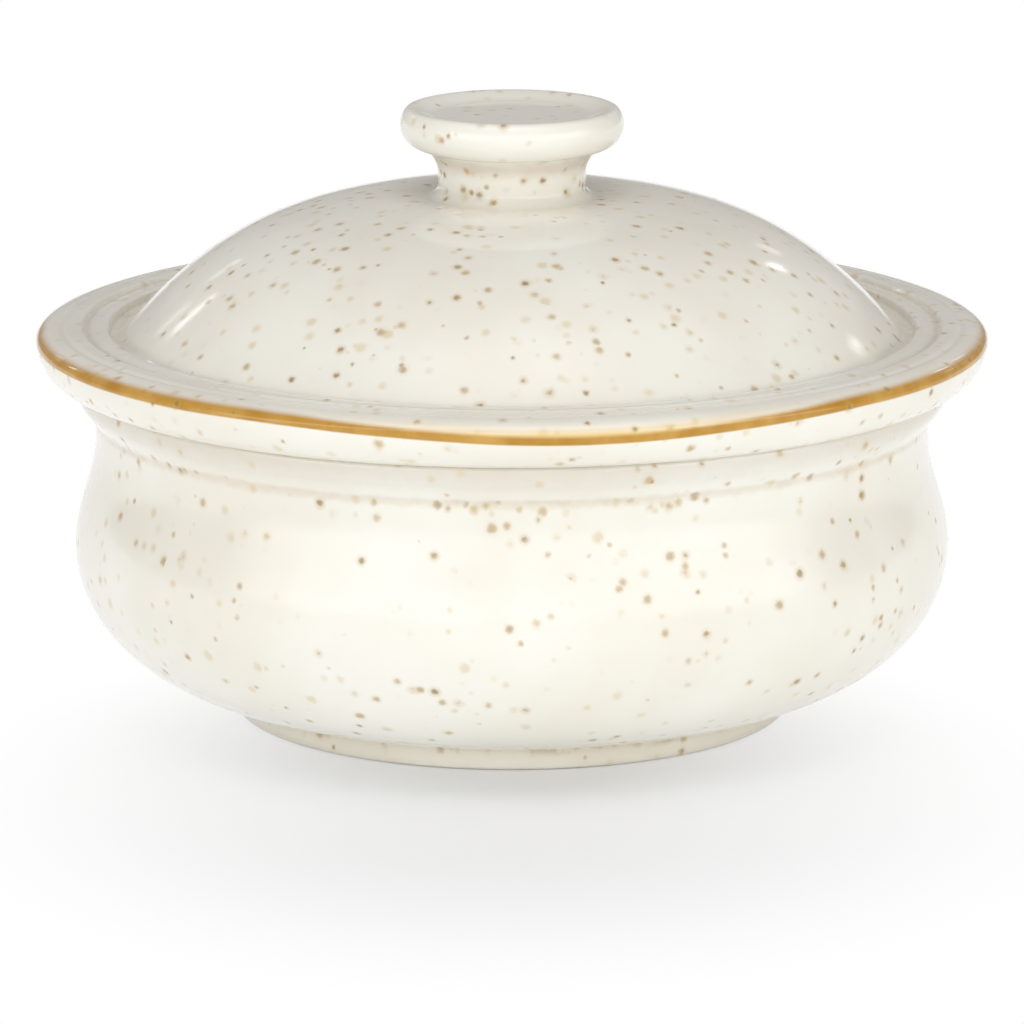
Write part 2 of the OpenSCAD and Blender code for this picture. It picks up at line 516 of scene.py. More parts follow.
@dataclass(frozen=True)
class PoolAndShade:
    """Ring of darker colour, in metres; some rings are gathered glaze and some are painted shade."""

    radius: float
    height: float
    reach: float
    even: float
    strength: float
    colour: Colour


@dataclass(frozen=True)
class PaintedLine:
    """Line painted by brush round the rim, lower and thinner in front, in metres and degrees."""

    low: float = 60.0 * MM
    full: float = 61.3 * MM
    high: float = 62.1 * MM
    edge: float = 0.18 * MM
    thinning: float = 0.25
    wash: float = 0.80
    wash_rise: float = 1.8 * MM
    inside: float = 70.0 * MM
    dip: float = 1.5 * MM
    dip_azimuth: float = 8.0
    dip_spread: float = 40.0
    strong: Colour = (0.45, 0.225, 0.020, 1.0)
    thin: Colour = (0.57, 0.33, 0.07, 1.0)
    pale: Colour = (0.74, 0.50, 0.12, 1.0)
    sway_noise: float = 45.0
    sway: float = 0.4 * MM
    brush_noise: float = 130.0
    brush_limits: Point = (0.35, 0.70)


@dataclass(frozen=True)
class BareClay:
    """Face that was wiped clean of glaze to stand in the kiln, in metres."""

    height: float
    edge: float
    low_radius: float
    high_radius: float
    buff: Colour = (0.62, 0.50, 0.36, 1.0)
    grey: Colour = (0.50, 0.39, 0.27, 1.0)
    roughness: float = 0.82
    sway_noise: float = 140.0
    grain_noise: float = 900.0


BUFF_SPECKS = Specks(
    spacing=4.0 * MM, size=0.60 * MM, keep=0.78, softness=0.40 * MM, bleed=2.2, core=0.32, halo=0.22,
    dark=(0.55, 0.40, 0.15, 1.0), light=(0.66, 0.54, 0.27, 1.0), stain=(0.73, 0.61, 0.33, 1.0), offset=0.31,
)
TAN_SPECKS = Specks(
    spacing=3.4 * MM, size=0.48 * MM, keep=0.50, softness=0.34 * MM, bleed=2.5, core=0.52, halo=0.40,
    dark=(0.28, 0.165, 0.042, 1.0), light=(0.46, 0.30, 0.09, 1.0), stain=(0.63, 0.46, 0.18, 1.0), offset=0.57,
)
DARK_SPECKS = Specks(
    spacing=3.5 * MM, size=0.36 * MM, keep=0.40, softness=0.26 * MM, bleed=3.0, core=0.64, halo=0.58,
    dark=(0.1, 0.056, 0.017, 1.0), light=(0.24, 0.145, 0.04, 1.0), stain=(0.55, 0.38, 0.12, 1.0), offset=0.83,
)
STEM_SPECKS = Specks(
    spacing=2.4 * MM, size=0.42 * MM, keep=0.80, softness=0.28 * MM, bleed=2.6, core=0.60, halo=0.50,
    dark=(0.12, 0.065, 0.018, 1.0), light=(0.36, 0.22, 0.06, 1.0), stain=(0.58, 0.40, 0.12, 1.0), offset=1.07,
)
CREASE_SPECKS = Specks(
    spacing=2.6 * MM, size=0.56 * MM, keep=0.50, softness=0.40 * MM, bleed=2.0, core=0.50, halo=0.40,
    dark=(0.24, 0.140, 0.035, 1.0), light=(0.50, 0.35, 0.12, 1.0), stain=(0.66, 0.49, 0.20, 1.0), offset=1.31,
)


@dataclass(frozen=True)
class Glaze:
    """Finish of one piece: base tones, specks, rings of gathered glaze and of painted shade, painted line and
    bare clay.
    """

    name: str
    density: float
    pools_and_shades: tuple[PoolAndShade, ...]
    bands: tuple[SpeckBand, ...]
    clay: BareClay
    line: PaintedLine | None = None
    specks: tuple[Specks, ...] = (BUFF_SPECKS, TAN_SPECKS, DARK_SPECKS)
    thick: Colour = (0.866, 0.858, 0.785, 1.0)
    thin: Colour = (0.82, 0.795, 0.705, 1.0)
    cloud_size: float = 34.0 * MM
    smooth: float = 0.07
    rough: float = 0.13
    speck_rough: float = 0.3
    speck_dent: float = -0.08
    wave_strength: float = 0.35
    wave_height: float = 0.25 * MM
    ior: float = 1.5

    def make(self, effects: GlazeEffects) -> bpy.types.Material:
        """Builds the material.

        Args:
            effects: Shader node groups that the glazes share.

        Returns:
            The material.
        """
        material = bpy.data.materials.new(self.name)
        material.use_nodes = True
        board = Board(material.node_tree)
        shader = material.node_tree.nodes["Principled BSDF"]
        place = board.add("ShaderNodeTexCoord").outputs["Object"]
        cloud = board.group(effects.cloud, Vector=place, Size=self.cloud_size)
        colour = board.mix(cloud.outputs["Cloud"], self.thick, self.thin)
        rough = board.mix(cloud.outputs["Cloud"], self.smooth, self.rough, MixKind.NUMBER)
        # Rings that darken the colour: gathered glaze, and painted shade
        for pool in self.pools_and_shades:
            node = board.group(effects.pool, Vector=place, Radius=pool.radius, Height=pool.height,
                               Reach=pool.reach, Even=pool.even)
            pool_and_shade_mask = board.math("MULTIPLY", node.outputs["Mask"], pool.strength)
            colour = board.mix(pool_and_shade_mask, colour, pool.colour)
        *under, last = self.specks
        for layer in under:
            colour, _ = self.lay_specks(board, effects, place, colour, SpeckBand(layer), self.density)
        for band in self.bands:
            colour, _ = self.lay_specks(board, effects, place, colour, band, 1.0)
        if self.line is not None:
            colour = self.paint_line(board, place, colour)
        colour, mask = self.lay_specks(board, effects, place, colour, SpeckBand(last), self.density)
        rough = board.mix(mask, rough, self.speck_rough, MixKind.NUMBER)
        height = board.math("MULTIPLY_ADD", mask, self.speck_dent, cloud.outputs["Waves"])
        colour, rough = self.bare_clay(board, place, colour, rough)
        bump = board.add("ShaderNodeBump")
        board.fill(bump, Strength=self.wave_strength, Distance=self.wave_height, Height=height)
        board.feed(shader.inputs["Base Color"], colour)
        board.fill(shader, Roughness=rough, Normal=bump.outputs["Normal"], IOR=self.ior)
        return material

    def lay_specks(self, board: Board, effects: GlazeEffects, place: Socket, colour: Socket,
                   band: SpeckBand, density: float) -> tuple[Socket, Socket]:
        """Lays one layer of specks over a colour.

        Args:
            board: Where the nodes go.
            effects: Shader node groups that the glazes share.
            place: Object coordinates.
            colour: Colour so far.
            band: The specks and their band of heights.
            density: How many there are, against their own share.

        Returns:
            The colour with the specks, and their mask.
        """
        layer = band.specks
        node = board.group(effects.specks, Vector=place, Spacing=layer.spacing, Size=layer.size,
                           Keep=layer.keep * density, Softness=layer.softness, Bleed=layer.bleed,
                           Offset=layer.offset, Low=band.low, High=band.high, Edge=band.edge)
        stained = board.mix(board.math("MULTIPLY", node.outputs["Halo"], layer.halo), colour, layer.stain)
        tone = board.mix(node.outputs["Tone"], layer.dark, layer.light)
        core = node.outputs["Core"]
        return board.mix(board.math("MULTIPLY", core, layer.core), stained, tone), core

    def paint_line(self, board: Board, place: Socket, colour: Socket) -> Socket:
        """Paints the line round the rim, with a clear lower edge, a soft upper one and a pale wash in front.

        Args:
            board: Where the nodes go.
            place: Object coordinates.
            colour: Colour so far.

        Returns:
            The colour with the line.
        """
        line = self.line
        parts = board.split(place)
        azimuth = board.math("ARCTAN2", parts.outputs["X"], board.math("MULTIPLY", parts.outputs["Y"], -1.0))
        turn = board.math("ABSOLUTE", board.math("SUBTRACT", azimuth, math.radians(line.dip_azimuth)))
        dip = board.ramp(turn, 0.0, math.radians(line.dip_spread), line.dip, 0.0)
        wander = board.swayed(dip, place, line.sway_noise, line.sway)
        height = board.math("ADD", parts.outputs["Z"], wander)
        lower = board.ramp(height, line.low - line.edge, line.low + line.edge)
        outside = board.math("GREATER_THAN", board.off_axis(place), line.inside)
        bounds = board.math("MULTIPLY", lower, outside)
        thinned = board.math("MULTIPLY_ADD", dip, line.thinning, height)
        upper = board.ramp(thinned, line.full, line.high, 1.0, 0.0)
        fade = board.ramp(height, line.full, line.full + line.wash_rise, 1.0, 0.0)
        wash = board.math("MULTIPLY", fade, board.math("MULTIPLY", dip, line.wash / line.dip))
        washed = board.mix(board.math("MULTIPLY", bounds, wash), colour, line.pale)
        brush = board.noise(place, line.brush_noise, detail=3.0, roughness=0.6)
        tone = board.mix(board.ramp(brush.outputs["Fac"], *line.brush_limits), line.strong, line.thin)
        return board.mix(board.math("MULTIPLY", bounds, upper), washed, tone)

    def bare_clay(self, board: Board, place: Socket, colour: Socket, rough: Socket) -> tuple[Socket, Socket]:
        """Shows the clay on the face that was wiped clean.

        Args:
            board: Where the nodes go.
            place: Object coordinates.
            colour: Colour so far.
            rough: Roughness so far.

        Returns:
            The colour and the roughness with the clay.
        """
        clay = self.clay
        height = board.swayed(board.split(place).outputs["Z"], place, clay.sway_noise, clay.edge)
        low = board.ramp(height, clay.height, clay.height + clay.edge, 1.0, 0.0)
        flat = board.off_axis(place)
        ring = board.math("MULTIPLY", board.math("GREATER_THAN", flat, clay.low_radius),
                          board.math("LESS_THAN", flat, clay.high_radius))
        mask = board.math("MULTIPLY", low, ring)
        grain = board.noise(place, clay.grain_noise, detail=4.0, roughness=0.7)
        tone = board.mix(grain.outputs["Fac"], clay.buff, clay.grey)
        colour = board.mix(mask, colour, tone)
        return colour, board.mix(mask, rough, clay.roughness, MixKind.NUMBER)


@dataclass(kw_only=True)
class TurnedPiece:
    """A fired piece turned about the Z axis, with the sizes that both pieces share, in metres."""

    name: str
    node: str
    body: str
    slot: str
    collar_d: float = 138.8 * MM
    seat_z: float = 53.9 * MM
    wall: float = 4.6 * MM
    lip_depth: float = 3.2 * MM
    segments: int = 256
    seed_size: float = 10.0 * MM
    smooth_angle: float = 40.0
    unevenness: float = 0.07 * MM
    uneven_size: float = 24.0 * MM

    def outline(self) -> list[Point]:
        """Gives the closed half section, from the axis round to the axis."""
        raise NotImplementedError

    def build(self) -> bpy.types.Object:
        """Draws the outline by extruding a vertex, spins it about the axis and makes it a little uneven.

        Returns:
            The finished piece, with its place in its mesh.
        """
        path = distinct(self.outline())
        deselect_all()
        bpy.ops.mesh.primitive_plane_add(size=self.seed_size, location=(0.0, 0.0, 0.0))
        piece = bpy.context.active_object
        piece.name = self.name
        piece.data.name = self.name
        bpy.ops.object.mode_set(mode="EDIT")
        bpy.ops.mesh.select_all(action="SELECT")
        bpy.ops.mesh.merge(type="CENTER")
        bpy.ops.transform.translate(value=(path[0][0], 0.0, path[0][1]))
        for last, here in zip(path, path[1:]):
            step = (here[0] - last[0], 0.0, here[1] - last[1])
            bpy.ops.mesh.extrude_region_move(TRANSFORM_OT_translate={"value": step})
        bpy.ops.mesh.select_all(action="SELECT")
        bpy.ops.mesh.spin(steps=self.segments, angle=math.tau, center=(0.0, 0.0, 0.0), axis=(0.0, 0.0, 1.0))
        bpy.ops.mesh.select_all(action="SELECT")
        bpy.ops.mesh.remove_doubles(threshold=SAME_POINT / 2)
        bpy.ops.mesh.normals_make_consistent(inside=False)
        bpy.ops.object.mode_set(mode="OBJECT")
        self.make_uneven(piece)
        bpy.ops.object.shade_smooth_by_angle(angle=math.radians(self.smooth_angle))
        return piece

    def make_uneven(self, piece: bpy.types.Object) -> None:
        """Sinks the surface by a few hundredths of a millimetre, as fired clay has it.

        Args:
            piece: The spun piece, selected and active.
        """
        clouds = bpy.data.textures.new(self.name + "_unevenness", "CLOUDS")
        clouds.noise_scale = self.uneven_size
        bpy.ops.object.modifier_add(type="DISPLACE")
        displace = piece.modifiers[-1]
        displace.texture = clouds
        displace.texture_coords = "LOCAL"
        displace.mid_level = 1.0
        displace.strength = self.unevenness
        bpy.ops.object.modifier_apply(modifier=displace.name)

    def dress(self, piece: bpy.types.Object, material: bpy.types.Material) -> None:
        """Gives the piece its finish and its place in the frame.

        Args:
            piece: The finished piece.
            material: Its glaze.
        """
        piece.data.materials.clear()
        piece.data.materials.append(material)
        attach(piece, self.body)
        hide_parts(self.node)


@dataclass(kw_only=True)
class Bowl(TurnedPiece):
    """Bowl with its foot ring, belly, neck and collar."""

    belly_out: float = 0.5 * MM
    belly_z: float = 27.1 * MM
    neck_in: float = 2.9 * MM
    neck_len: float = 2.6 * MM
    collar_h: float = 6.3 * MM
    collar_slope: float = 3.6 * MM
    collar_round: float = 3.0 * MM
    crease_round: float = 1.2 * MM
    rim_round: float = 0.9 * MM
    floor_t: float = 5.2 * MM
    foot_d: float = 88.6 * MM
    foot_h: float = 3.7 * MM
    foot_w: float = 5.4 * MM
    foot_recess: float = 2.4 * MM
    foot_round: float = 0.7 * MM
    foot_fillet: float = 0.8 * MM
    foot_tuck: float = 3.3 * MM
    fillet_room: float = 3.0
    round_room: float = 2.0
    lip_clear: float = 0.7 * MM
    ledge_h: float = 3.5 * MM

    def outline(self) -> list[Point]:
        """Gives the half section, from the recess under the foot round to the floor.

        Returns:
            The points in order.
        """
        collar_r = self.collar_d / 2
        belly_r = collar_r + self.belly_out
        neck_r = collar_r - self.neck_in
        crease_z = self.seat_z - self.collar_h
        neck_z = crease_z - self.neck_len
        foot_r = self.foot_d / 2
        foot_in_r = foot_r - self.foot_w
        belly_c = (foot_r - self.foot_tuck, self.belly_z)
        belly_run = belly_r - belly_c[0]
        belly_drop = self.belly_z - self.foot_h
        start = -math.degrees(math.acos((self.foot_tuck + self.fillet_room * self.foot_fillet) / belly_run))
        lower = arc(belly_c, belly_run, belly_drop, start, 0.0, LONG_STEPS)
        floor_z = self.foot_recess + self.floor_t
        mouth_r = collar_r - self.wall
        gallery_z = self.seat_z - self.lip_depth - self.lip_clear
        ledge_z = gallery_z - self.ledge_h
        neck_in_r = neck_r - self.wall
        belly_in_r = belly_r - self.wall
        recess_end = (foot_in_r - self.round_room * self.foot_round, self.foot_recess)
        recess = straight((0.0, self.foot_recess), recess_end, FILLET_STEPS)
        foot = rounded([(*recess[-1], 0.0), (foot_in_r, self.foot_recess, self.foot_round),
                        (foot_in_r, 0.0, self.foot_round), (foot_r, 0.0, self.foot_round),
                        (foot_r, self.foot_h, self.foot_fillet), (*lower[0], 0.0)])
        shoulder = upright_wave((belly_r, self.belly_z), (neck_r, neck_z), LONG_STEPS)
        collar = rounded([(neck_r, neck_z, 0.0), (neck_r, crease_z, self.crease_round),
                          (collar_r, crease_z + self.collar_slope, self.collar_round),
                          (collar_r, self.seat_z, self.rim_round), (mouth_r, self.seat_z, self.rim_round),
                          (mouth_r, gallery_z, 0.0)])
        ledge = upright_wave((mouth_r, gallery_z), (neck_in_r, ledge_z), SHORT_STEPS)
        inside = upright_wave((neck_in_r, ledge_z), (belly_in_r, self.belly_z), SHORT_STEPS)
        hollow = arc(belly_c, belly_in_r - belly_c[0], self.belly_z - floor_z, 0.0, -90.0, LONG_STEPS)
        floor = straight(hollow[-1], (0.0, floor_z), FILLET_STEPS)
        return recess + foot + lower + shoulder + collar + ledge + inside + hollow + floor


@dataclass(kw_only=True)
class Lid(TurnedPiece):
    """Lid with its rolled rim, flange, dome, stem and dished knob."""

    overhang: float = 6.4 * MM
    rim_under: float = 6.4 * MM
    rim_crown: float = 2.3 * MM
    rim_curl: float = 3.8 * MM
    crown_reach: float = 3.9 * MM
    crown_rise: float = 1.7 * MM
    ring_in: float = 4.3 * MM
    ring_w: float = 0.5 * MM
    ring_h: float = 0.18 * MM
    band_w: float = 3.3 * MM
    groove_w: float = 1.6 * MM
    groove_h: float = 0.7 * MM
    ridge_w: float = 2.9 * MM
    ridge_top: float = 0.9 * MM
    ridge_drop: float = 0.3 * MM
    ridge_round: float = 0.5 * MM
    valley_w: float = 1.8 * MM
    valley_h: float = 1.7 * MM
    dome_rise: float = 20.4 * MM
    dome_slope: float = 48.0
    dome_flank: float = 21.2 * MM
    dome_top: float = 21.6 * MM
    dome_fillet: float = 2.0 * MM
    lid_wall: float = 4.6 * MM
    lip_gap: float = 1.5 * MM
    lip_round: float = 1.2 * MM
    knob_d: float = 35.6 * MM
    knob_lift: float = 11.5 * MM
    knob_roll: float = 3.8 * MM
    knob_crown: float = 2.7 * MM
    knob_crest: float = 1.7 * MM
    knob_slope: float = 15.0
    stem_d: float = 23.6 * MM
    stem_fillet: float = 4.2 * MM
    stem_foot: float = 2.0 * MM
    dish_h: float = 1.2 * MM
    dish_slope_w: float = 4.3 * MM

    def outline(self) -> list[Point]:
        """Gives the half section, from the knob's dish round to the top of the hollow.

        Returns:
            The points in order.
        """
        dome = self.dome()
        limit = self.valley_z + self.valley_h * math.sin(math.radians(self.dome_slope))
        flank = [p for p in dome if p[1] > limit]
        return self.knob() + flank + self.flange() + self.inside(dome)

    @property
    def flange_z(self) -> float:
        """Height of the flange's top."""
        return self.seat_z + self.rim_under + self.rim_crown

    @property
    def dome_z(self) -> float:
        """Height of the dome's top."""
        return self.flange_z + self.dome_rise

    @property
    def groove_out_r(self) -> float:
        """Outer radius of the tooled groove."""
        return self.collar_d / 2 + self.overhang - self.rim_curl - self.band_w

    @property
    def ridge_in_r(self) -> float:
        """Inner radius of the ridge."""
        return self.groove_out_r - self.groove_w - self.ridge_w

    @property
    def valley_z(self) -> float:
        """Height of the valley at the foot of the dome."""
        return self.flange_z - self.ridge_drop - self.valley_h

    @property
    def dome_base(self) -> Point:
        """Where the dome meets the valley."""
        return self.ridge_in_r - self.valley_w, self.valley_z

    def up_slope(self, length: float) -> Point:
        """Point that lies a given length up the dome's lowest slope."""
        angle = math.radians(self.dome_slope)
        return self.dome_base[0] - length * math.cos(angle), self.dome_base[1] + length * math.sin(angle)

    def dome(self) -> list[Point]:
        """Gives the dome's curve.

        Returns:
            The points from the stem's foot to the valley.
        """
        start = (self.stem_d / 2 + self.stem_foot, self.dome_z)
        handle = (start[0] + self.dome_top, start[1])
        return bezier(start, handle, self.up_slope(self.dome_flank), self.dome_base, LONG_STEPS)

    def knob(self) -> list[Point]:
        """Gives the dished top, rolled edge, underside and stem of the knob.

        Returns:
            The points in order.
        """
        stem_r = self.stem_d / 2
        dome_z = self.dome_z
        roll_c = (self.knob_d / 2 - self.knob_roll, dome_z + self.knob_lift)
        top_z = roll_c[1] + self.knob_crown
        slope = math.radians(self.knob_slope)
        crest_r = self.knob_d / 2 - self.knob_crest
        dish_r = crest_r - self.dish_slope_w
        dish = straight((0.0, top_z - self.dish_h), (dish_r, top_z - self.dish_h), FILLET_STEPS)
        rise = level_wave(dish[-1], (crest_r, top_z), SHORT_STEPS)
        crown = arc((crest_r, roll_c[1]), self.knob_crest, self.knob_crown, 90.0, 0.0, SHORT_STEPS)
        roll = arc(roll_c, self.knob_roll, self.knob_roll, 0.0, self.knob_slope - 90.0, SHORT_STEPS)
        stem_top = roll[-1][1] - (roll[-1][0] - stem_r) * math.tan(slope)
        corners = [(*roll[-1], 0.0), (stem_r, stem_top, self.stem_fillet), (stem_r, dome_z, self.stem_foot),
                   (stem_r + self.stem_foot, dome_z, 0.0)]
        stem = rounded(corners, SHORT_STEPS)
        return dish + rise + crown + roll + stem

    def flange(self) -> list[Point]:
        """Gives the valley, ridge, tooled groove, band with its fine ring, and rolled rim.

        Returns:
            The points in order.
        """
        flange_z = self.flange_z
        ridge_z = flange_z - self.ridge_drop
        groove_out_r = self.groove_out_r
        groove_mid = (groove_out_r - self.groove_w / 2, flange_z - self.groove_h)
        ridge_top_r = self.ridge_in_r + self.ridge_top
        collar_r = self.collar_d / 2
        rim_r = collar_r + self.overhang
        rim_z = self.seat_z + self.rim_under
        valley = rounded([(*self.up_slope(self.valley_h), 0.0), (*self.dome_base, self.dome_fillet),
                          (self.ridge_in_r, self.valley_z, self.ridge_round),
                          (self.ridge_in_r, ridge_z, self.ridge_round), (ridge_top_r, ridge_z, 0.0)])
        groove = level_wave((ridge_top_r, ridge_z), groove_mid, SHORT_STEPS)
        groove += level_wave(groove_mid, (groove_out_r, flange_z), FILLET_STEPS)
        crown = bezier((groove_out_r, flange_z), (groove_out_r + self.crown_reach, flange_z),
                       (rim_r, rim_z + self.crown_rise), (rim_r, rim_z), LONG_STEPS)
        ring_r = rim_r - self.ring_in
        crown = [(r, z - self.ring_h * math.exp(-((r - ring_r) / self.ring_w) ** 2)) for r, z in crown]
        under = arc((collar_r, rim_z), self.overhang, self.rim_under, 0.0, -90.0, SHORT_STEPS)
        return valley + groove + crown + under

    def inside(self, dome: list[Point]) -> list[Point]:
        """Gives the seat, the locating lip and the hollow of the dome.

        Args:
            dome: The dome's outer curve.

        Returns:
            The points in order.
        """
        collar_r = self.collar_d / 2
        lip_r = collar_r - self.wall - self.lip_gap
        lip_z = self.seat_z - self.lip_depth
        hollow = moved_right(dome, self.lid_wall)[::-1]
        lip_in_r = hollow[0][0]
        lip = rounded([(collar_r, self.seat_z, 0.0), (lip_r, self.seat_z, 0.0),
                       (lip_r, lip_z, self.lip_round), (lip_in_r, lip_z, self.lip_round), (*hollow[0], 0.0)])
        top = straight(hollow[-1], (0.0, self.dome_z - self.lid_wall), FILLET_STEPS)
        return lip + hollow + top


@dataclass(frozen=True)
class Softbox:
    """Soft lamp that looks at a target; its azimuth counts from the camera's side, positive to the right."""

    name: str
    azimuth: float
    elevation: float
    distance: float
    width: float
    height: float
    brightness: float
    edge: float = 0.2
    roll: float = 0.0
    mirrored: bool = True
    target: Corner = (0.0, 0.0, 60.0 * MM)

    def build(self) -> None:
        """Adds the lamp."""
        turn = math.radians(self.azimuth)
        rise = math.radians(self.elevation)
        away = Vector((math.sin(turn) * math.cos(rise), -math.cos(turn) * math.cos(rise), math.sin(rise)))
        deselect_all()
        bpy.ops.object.light_add(type="AREA", location=Vector(self.target) + away * self.distance)
        lamp = bpy.context.active_object
        lamp.name = self.name
        facing = (-away).to_track_quat("-Z", "Y") @ Quaternion((0.0, 0.0, 1.0), math.radians(self.roll))
        lamp.rotation_euler = facing.to_euler()
        lamp.data.shape = "RECTANGLE"
        lamp.data.size = self.width
        lamp.data.size_y = self.height
        lamp.data.energy = self.brightness * math.pi * self.width * self.height
        lamp.visible_camera = False
        lamp.visible_glossy = self.mirrored
        lamp.data.use_nodes = True
        board = Board(lamp.data.node_tree)
        parts = board.split(board.add("ShaderNodeNewGeometry").outputs["Parametric"])
        fades = []
        for axis in ("X", "Y"):
            away_from_middle = board.math("ABSOLUTE", board.math("SUBTRACT", parts.outputs[axis], MIDDLE))
            fades.append(board.ramp(away_from_middle, MIDDLE - self.edge, MIDDLE, 1.0, 0.0))
        board.feed(lamp.data.node_tree.nodes["Emission"].inputs["Strength"], board.math("MULTIPLY", *fades))


@dataclass
class Studio:
    """Plain pale floor, soft light and the camera, in metres."""

    camera_place: Corner = (0.0, -1250.7 * MM, 313.8 * MM)
    aim: Corner = (0.0, 0.0, 31.3 * MM)
    picture_px: float = 1024.0
    focal_px: float = 8000.0
    sensor: float = 36.0
    view_reach: float = 100.0
    floor_size: float = 40.0
    floor_drop: float = 0.05 * MM
    floor_tone: Colour = (0.865, 0.88, 0.90, 1.0)
    white: Colour = (1.0, 1.0, 1.0, 1.0)
    white_limits: Point = (1.2, 6.0)
    room_tone: Colour = (1.0, 0.95, 0.93, 1.0)
    room_strength: float = 0.40
    shadow_place: Corner = (0.0, 60.0 * MM, 0.0)
    shadow_size: Corner = (106.0 * MM, 130.0 * MM, 1.0)
    shadow_edge: float = 0.90
    shadow_white: float = 0.16
    lamps: tuple[Softbox, ...] = (
        Softbox("front_left", -48.0, 10.0, 1.30, 1.82, 0.72, 2.3, edge=0.32),
        Softbox("front_middle", 4.0, 10.0, 1.30, 1.82, 0.72, 1.7, edge=0.32),
        Softbox("front_right", 56.0, 10.0, 1.30, 1.82, 0.72, 2.3, edge=0.32),
        Softbox("overhead", 0.0, 72.0, 1.50, 1.60, 1.40, 1.05, edge=0.35),
        Softbox("overhead_fill", 0.0, 72.0, 1.50, 1.60, 1.40, 2.15, edge=0.35, mirrored=False),
        Softbox("back_left", -143.7, 23.0, 1.30, 0.175, 0.045, 5.0, roll=-46.0),
        Softbox("back_left_faint", -155.1, 19.5, 1.30, 0.130, 0.045, 1.1, roll=-31.0),
        Softbox("back_left_low", -147.3, 17.3, 1.30, 0.118, 0.035, 1.6, roll=-67.0),
        Softbox("back_right", 153.0, 26.0, 1.30, 0.05, 0.085, 5.0),
        Softbox("back_right_faint", 159.9, 20.5, 1.30, 0.085, 0.05, 1.6, roll=43.0),
        Softbox("side_right", 139.1, 21.8, 1.30, 0.140, 0.014, 7.0, roll=-40.0),
        # White cards, which lie on the table and throw light up at the dish
        Softbox("table_card", 0.0, -90.0, 0.999, 1.00, 1.00, 0.14, mirrored=False, target=(0.0, 0.0, 1.0)),
        Softbox("left_card", 0.0, -90.0, 0.999, 0.36, 0.60, 0.40, mirrored=False, target=(-0.26, -0.02, 1.0)),
        Softbox("right_card", 0.0, -90.0, 0.999, 0.36, 0.60, 0.40, mirrored=False, target=(0.26, -0.02, 1.0)),
        Softbox("front_card", 0.0, -90.0, 0.999, 0.80, 0.40, 0.45, mirrored=False, target=(0.0, -0.36, 1.0)),
    )

    def build(self) -> None:
        """Makes the floor, the room's light, the lamps and the camera."""
        self.build_floor()
        self.build_room()
        for lamp in self.lamps:
            lamp.build()
        self.build_camera()

    def build_floor(self) -> None:
        """Makes a pale floor that is white to the camera away from the dish and keeps the dish's shadow."""
        deselect_all()
        bpy.ops.mesh.primitive_plane_add(size=self.floor_size, location=(0.0, 0.0, 0.0))
        floor = bpy.context.active_object
        floor.name = "floor"
        bpy.ops.object.mode_set(mode="EDIT")
        bpy.ops.mesh.select_all(action="SELECT")
        bpy.ops.transform.translate(value=(0.0, 0.0, -self.floor_drop))
        bpy.ops.object.mode_set(mode="OBJECT")
        material = bpy.data.materials.new("studio_floor")
        material.use_nodes = True
        material.node_tree.nodes.clear()
        board = Board(material.node_tree)
        place = board.add("ShaderNodeTexCoord").outputs["Object"]
        away = board.vector("LENGTH", place)
        path = board.add("ShaderNodeLightPath").outputs
        mirrored = board.math("MAXIMUM", path["Is Glossy Ray"], path["Is Transmission Ray"])
        seen = board.math("MAXIMUM", path["Is Camera Ray"], mirrored)
        oval = board.vector("DIVIDE", board.vector("ADD", place, self.shadow_place), self.shadow_size)
        clear = board.ramp(board.vector("LENGTH", oval), 0.0, self.shadow_edge, self.shadow_white, 1.0)
        share = board.math("MULTIPLY", seen, clear)
        matt = board.add("ShaderNodeBsdfDiffuse", self.floor_tone)
        far = tuple(self.room_strength * c for c in self.room_tone[:3]) + (1.0,)
        glow = board.mix(board.ramp(away, *self.white_limits), self.white, far)
        white = board.add("ShaderNodeEmission", glow)
        both = board.add("ShaderNodeMixShader", share, matt.outputs["BSDF"], white.outputs["Emission"])
        board.add("ShaderNodeOutputMaterial", both.outputs["Shader"])
        floor.data.materials.append(material)

    def build_room(self) -> None:
        """Gives the room its even light."""
        world = bpy.data.worlds.new("room")
        bpy.context.scene.world = world
        world.use_nodes = True
        light = world.node_tree.nodes["Background"]
        Board(world.node_tree).fill(light, Color=self.room_tone, Strength=self.room_strength)

    def build_camera(self) -> None:
        """Puts the camera at the photograph's place and angle."""
        deselect_all()
        bpy.ops.object.camera_add(location=self.camera_place)
        camera = bpy.context.active_object
        camera.name = "camera"
        look = Vector(self.aim) - Vector(self.camera_place)
        camera.rotation_euler = look.to_track_quat("-Z", "Y").to_euler()
        camera.data.sensor_width = self.sensor
        camera.data.lens = self.focal_px * self.sensor / self.picture_px
        camera.data.clip_end = self.view_reach
        bpy.context.scene.camera = camera


CREASE_BROWN: Colour = (0.44, 0.29, 0.10, 1.0)
# Colours of painted shade and painted shadow
PAINTED_SHADE_BROWN: Colour = (0.50, 0.40, 0.29, 1.0)
PAINTED_SHADOW_GREY: Colour = (0.50, 0.45, 0.38, 1.0)
STEM_PAINTED_SHADOW: Colour = (0.50, 0.36, 0.28, 1.0)

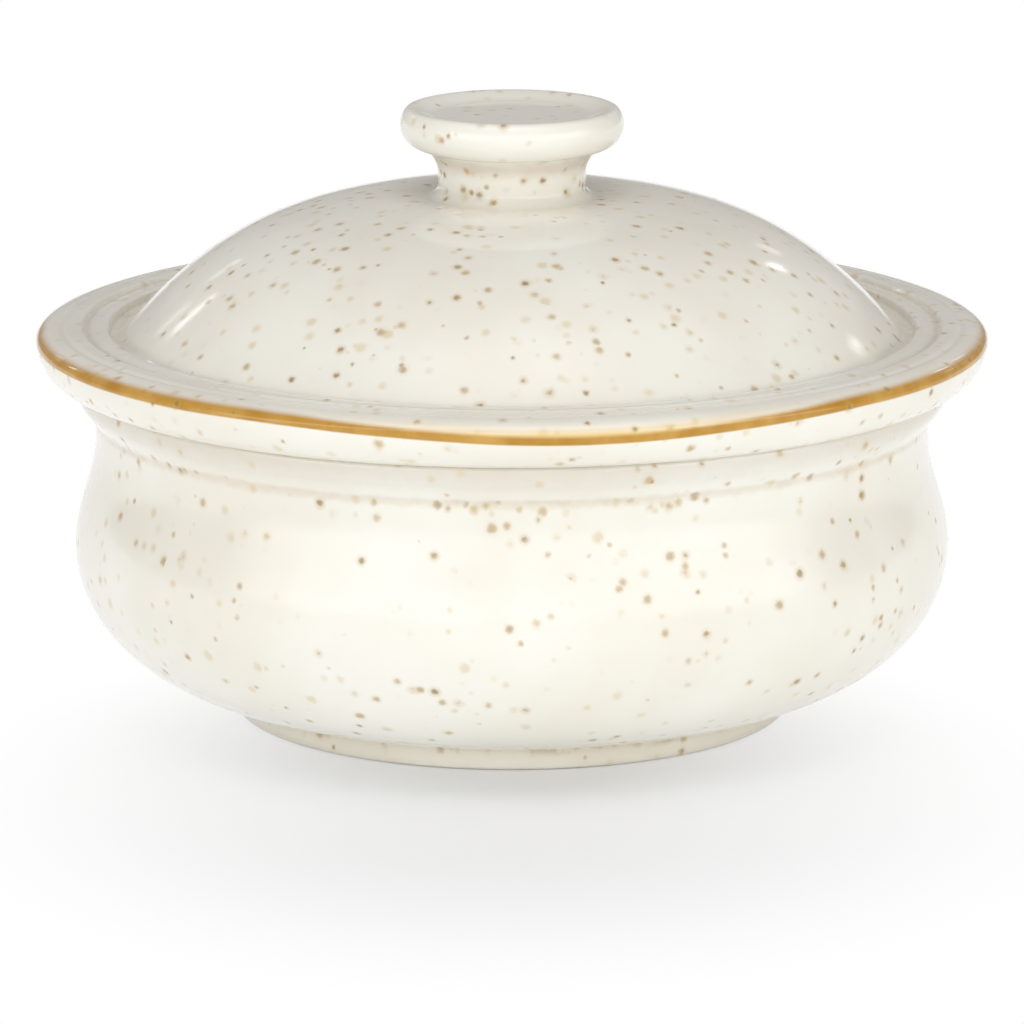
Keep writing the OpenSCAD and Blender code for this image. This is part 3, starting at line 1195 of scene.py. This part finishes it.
BOWL_GLAZE = Glaze(
    name="bowl_speckled_glaze",
    pools_and_shades=(
        # Painted shadow under the lid's overhanging rim: darkest at the seam and fading down the collar; it
        # also darkens the bowl's rim under the lid
        PoolAndShade(69.4 * MM, 53.0 * MM, 5.2 * MM, 1.0, 0.42, PAINTED_SHADOW_GREY),
        # Brown glaze gathered in the crease under the collar, with painted shade there too
        PoolAndShade(66.5 * MM, 47.5 * MM, 1.3 * MM, 0.7, 0.28, CREASE_BROWN),
        PoolAndShade(44.3 * MM, 3.3 * MM, 1.4 * MM, 0.20, 0.45, CREASE_BROWN),
        # Darker and browner over the whole face of the foot
        PoolAndShade(44.3 * MM, 1.8 * MM, 3.4 * MM, 1.0, 0.20, CREASE_BROWN),
    ),
    bands=(
        SpeckBand(CREASE_SPECKS, 46.6 * MM, 48.4 * MM, 0.9 * MM),
        SpeckBand(CREASE_SPECKS, 2.6 * MM, 5.0 * MM, 0.9 * MM),
    ),
    clay=BareClay(0.05 * MM, 0.15 * MM, 37.0 * MM, 46.0 * MM),
    density=0.78,
)
LID_GLAZE = Glaze(
    name="lid_speckled_glaze",
    pools_and_shades=(
        # Brown glaze gathered in the valley at the dome's foot, with painted shade there too
        PoolAndShade(63.4 * MM, 60.7 * MM, 1.9 * MM, 0.5, 0.38, PAINTED_SHADE_BROWN),
        # Painted shade in the tooled groove of the flange
        PoolAndShade(67.7 * MM, 61.9 * MM, 0.9 * MM, 0.9, 0.40, PAINTED_SHADE_BROWN),
        # Painted shadow under the knob's rolled edge, at the top of the stem
        PoolAndShade(12.8 * MM, 89.0 * MM, 2.4 * MM, 0.9, 0.42, STEM_PAINTED_SHADOW),
    ),
    line=PaintedLine(),
    bands=(SpeckBand(STEM_SPECKS, 84.0 * MM, 89.4 * MM, 1.0 * MM),),
    density=1.5,
    clay=BareClay(50.95 * MM, 0.30 * MM, 57.0 * MM, 64.0 * MM),
)


def main() -> None:
    """Builds the studio and both pieces."""
    logging.basicConfig(level=logging.INFO, format="%(name)s: %(message)s")
    bpy.context.scene.view_settings.view_transform = "Standard"
    Studio().build()
    effects = GlazeEffects()
    bowl = Bowl(name="bowl_glazed", node="bowl", body="bowl", slot="bowl_glaze")
    lid = Lid(name="lid_glazed", node="lid", body="lid", slot="lid_glaze")
    for piece, glaze in ((bowl, BOWL_GLAZE), (lid, LID_GLAZE)):
        made = piece.build()
        piece.dress(made, glaze.make(effects))
        LOG.info("%s: %d faces", made.name, len(made.data.polygons))


if __name__ == "__main__":
    main()
